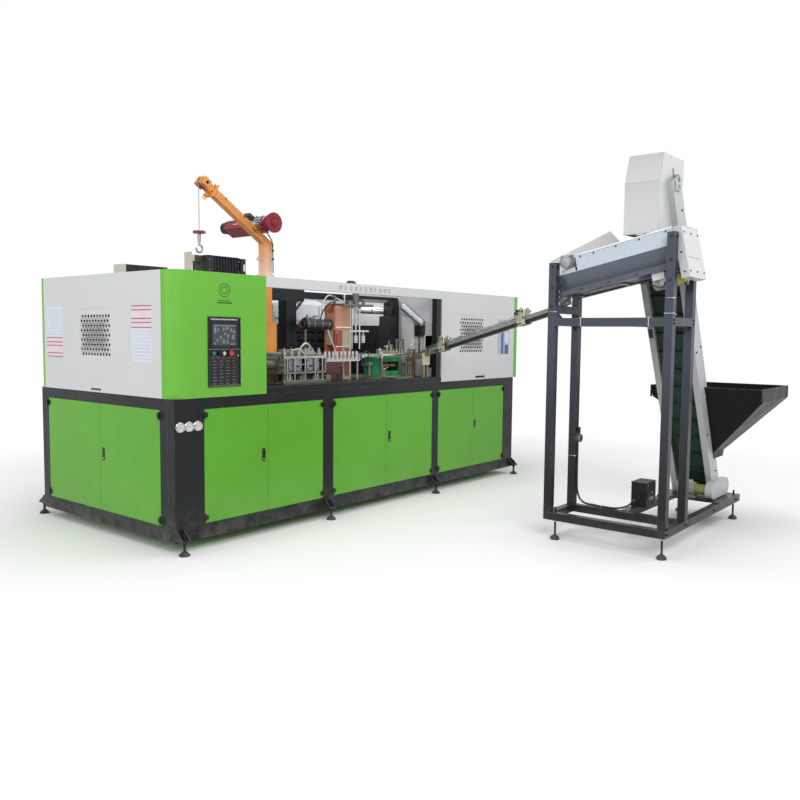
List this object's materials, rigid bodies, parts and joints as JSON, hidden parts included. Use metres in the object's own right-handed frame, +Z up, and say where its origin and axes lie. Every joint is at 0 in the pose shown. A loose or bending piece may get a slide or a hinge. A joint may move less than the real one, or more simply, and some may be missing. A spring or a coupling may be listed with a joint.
{
  "type": "bottle blow moulding machine",
  "caption": "Bottle blow moulding machine with open work bay, hinged doors, operator panel and jib crane, fed by a cleated elevator, a roller unscrambler tower and a sloping chute.",
  "frame": {"origin": "bottom centre of the levelling foot at the front left corner of the machine, on the floor", "axes": "+X runs along the machine to the right, +Y from its front to its rear, +Z up; the loader tower stands at -Y"},
  "size_m": [4.706, 5.0889, 2.95],
  "materials": {
    "black_paint": "satin",
    "green_paint": "satin",
    "white_paint": "satin",
    "foot_black": "matt",
    "gauge_face": "gloss",
    "panel_black": "matt",
    "button_green": "gloss",
    "button_red": "gloss",
    "button_white": "gloss",
    "orange_paint": "satin",
    "red_paint": "satin",
    "steel": "brushed",
    "duct_aluminium": "foil",
    "cream_paint": "satin",
    "star_brown": "satin",
    "guard_green": "gloss",
    "slate_paint": "satin",
    "channel_grey": "satin",
    "belt_rubber": "matt",
    "cable_black": "matt"
  },
  "bodies": {
    "machine": {"frame_front": "black_paint", "frame_rear": "black_paint", "frame_ends": "black_paint", "bed": "black_paint", "panels": "green_paint", "hinges": "black_paint", "levelling_feet": "foot_black", "green_covers": "green_paint", "cover_end_left": "white_paint", "vents": "white_paint", "cabinet_shells": "white_paint", "cover_front_right": "white_paint", "headers": "white_paint", "gauges": "gauge_face", "hmi_panel": "panel_black", "roof_units": "black_paint", "crane_column": "orange_paint", "bay_frame": "black_paint", "ducts": "duct_aluminium", "clamp_frame": "cream_paint", "stretch_frame": "orange_paint", "feed_table": "cream_paint", "green_guard": "guard_green", "chute": "slate_paint", "tower_base": "slate_paint", "tower_posts": "slate_paint", "trough": "slate_paint", "trough_drive": "white_paint", "elev_frame": "channel_grey", "belt": "belt_rubber", "foot_drive": "white_paint", "hood": "white_paint", "hopper": "black_paint", "controls": "panel_black", "tower_cable": "cable_black"},
    "crane_boom": {"crane_mast": "orange_paint", "hoist": "red_paint"},
    "hook": {"hook": "red_paint", "rope": "steel"},
    "door_a1": {"door_a1": "green_paint"},
    "door_a2": {"door_a2": "green_paint"},
    "door_b1": {"door_b1": "green_paint"},
    "door_b2": {"door_b2": "green_paint"},
    "door_c1": {"door_c1": "green_paint"},
    "door_c2": {"door_c2": "green_paint"},
    "door_e1": {"door_e1": "green_paint"},
    "door_e2": {"door_e2": "green_paint"},
    "btn_start": {"btn_start": "button_green"},
    "btn_stop": {"btn_stop": "button_red"},
    "btn_reset": {"btn_reset": "button_white"},
    "selector": {"selector": "panel_black"},
    "sheave": {"sheave": "steel"},
    "mould_left": {"mould_left": "steel"},
    "mould_right": {"mould_right": "steel"},
    "stretch_carriage": {"stretch_carriage": "steel"},
    "star_wheel": {"star_wheel": "star_brown"},
    "roller_a": {"roller_a": "steel"},
    "roller_b": {"roller_b": "steel"},
    "drum_head": {"drum_head": "steel"},
    "drum_foot": {"drum_foot": "steel"}
  },
  "joints": [
    {"name": "door_a1_hinge", "type": "hinge", "parent": "machine", "child": "door_a1", "pos_m": [0.223, 0.051, 0.6], "axis": [0, 0, -1], "range_deg": [0, 110]},
    {"name": "door_a2_hinge", "type": "hinge", "parent": "machine", "child": "door_a2", "pos_m": [1.465, 0.051, 0.6], "axis": [0, 0, 1], "range_deg": [0, 93]},
    {"name": "door_b1_hinge", "type": "hinge", "parent": "machine", "child": "door_b1", "pos_m": [1.589, 0.051, 0.6], "axis": [0, 0, -1], "range_deg": [0, 93]},
    {"name": "door_b2_hinge", "type": "hinge", "parent": "machine", "child": "door_b2", "pos_m": [3.025, 0.051, 0.6], "axis": [0, 0, 1], "range_deg": [0, 93]},
    {"name": "door_c1_hinge", "type": "hinge", "parent": "machine", "child": "door_c1", "pos_m": [3.128, 0.051, 0.6], "axis": [0, 0, -1], "range_deg": [0, 93]},
    {"name": "door_c2_hinge", "type": "hinge", "parent": "machine", "child": "door_c2", "pos_m": [4.38, 0.051, 0.6], "axis": [0, 0, 1], "range_deg": [0, 110]},
    {"name": "door_e1_hinge", "type": "hinge", "parent": "machine", "child": "door_e1", "pos_m": [-0.046, 0.23, 0.6], "axis": [0, 0, 1], "range_deg": [0, 110]},
    {"name": "door_e2_hinge", "type": "hinge", "parent": "machine", "child": "door_e2", "pos_m": [-0.046, 1.866, 0.6], "axis": [0, 0, -1], "range_deg": [0, 110]},
    {"name": "btn_start_press", "type": "slide", "parent": "machine", "child": "btn_start", "axis": [0, 1, 0], "range_m": [0, 0.004], "stiffness_N_per_m": 600},
    {"name": "btn_stop_press", "type": "slide", "parent": "machine", "child": "btn_stop", "axis": [0, 1, 0], "range_m": [0, 0.004], "stiffness_N_per_m": 600},
    {"name": "btn_reset_press", "type": "slide", "parent": "machine", "child": "btn_reset", "axis": [0, 1, 0], "range_m": [0, 0.004], "stiffness_N_per_m": 600},
    {"name": "selector_turn", "type": "hinge", "parent": "machine", "child": "selector", "pos_m": [0.357, 0.06, 1.45], "axis": [0, 1, 0], "range_deg": [-45, 45]},
    {"name": "crane_slew", "type": "hinge", "parent": "machine", "child": "crane_boom", "pos_m": [1.298, 0.61, 1.702], "axis": [0, 0, 1], "range_deg": [0, 180]},
    {"name": "hook_lift", "type": "slide", "parent": "crane_boom", "child": "hook", "axis": [0, 0, 1], "range_m": [-0.1, 0.22], "deforming": ["rope"]},
    {"name": "sheave_turn", "type": "hinge", "parent": "crane_boom", "child": "sheave", "pos_m": [0.647, 0.61, 2.80513], "axis": [0, 1, 0], "range_deg": [-140, 300]},
    {"name": "mould_left_slide", "type": "slide", "parent": "machine", "child": "mould_left", "axis": [1, 0, 0], "range_m": [0, 0.0298]},
    {"name": "mould_right_slide", "type": "slide", "parent": "machine", "child": "mould_right", "axis": [1, 0, 0], "range_m": [-0.0298, 0]},
    {"name": "stretch_slide", "type": "slide", "parent": "machine", "child": "stretch_carriage", "axis": [0, 0, 1], "range_m": [-0.12, 0]},
    {"name": "star_turn", "type": "hinge", "parent": "machine", "child": "star_wheel", "pos_m": [2.673, 0.48, 1.3], "axis": [0, 0, 1], "continuous": true},
    {"name": "roller_a_turn", "type": "hinge", "parent": "machine", "child": "roller_a", "pos_m": [2.35, -2.19964, 2.10539], "axis": [0, 0.9781, -0.2079], "continuous": true},
    {"name": "roller_b_turn", "type": "hinge", "parent": "machine", "child": "roller_b", "pos_m": [2.456, -2.19964, 2.10539], "axis": [0, 0.9781, -0.2079], "continuous": true},
    {"name": "drum_head_turn", "type": "hinge", "parent": "machine", "child": "drum_head", "pos_m": [2.53714, -2.36, 2.71155], "axis": [0, 1, 0], "continuous": true},
    {"name": "drum_foot_turn", "type": "hinge", "parent": "machine", "child": "drum_foot", "pos_m": [3.729, -2.36, 0.3], "axis": [0, 1, 0], "continuous": true}
  ],
  "couplings": [
    {"joint": "sheave_turn", "follows": "hook_lift", "rad_per_m": 22.727},
    {"joint": "mould_right_slide", "follows": "mould_left_slide", "ratio": -1},
    {"joint": "roller_b_turn", "follows": "roller_a_turn", "ratio": -1},
    {"joint": "drum_foot_turn", "follows": "drum_head_turn", "ratio": 1}
  ]
}
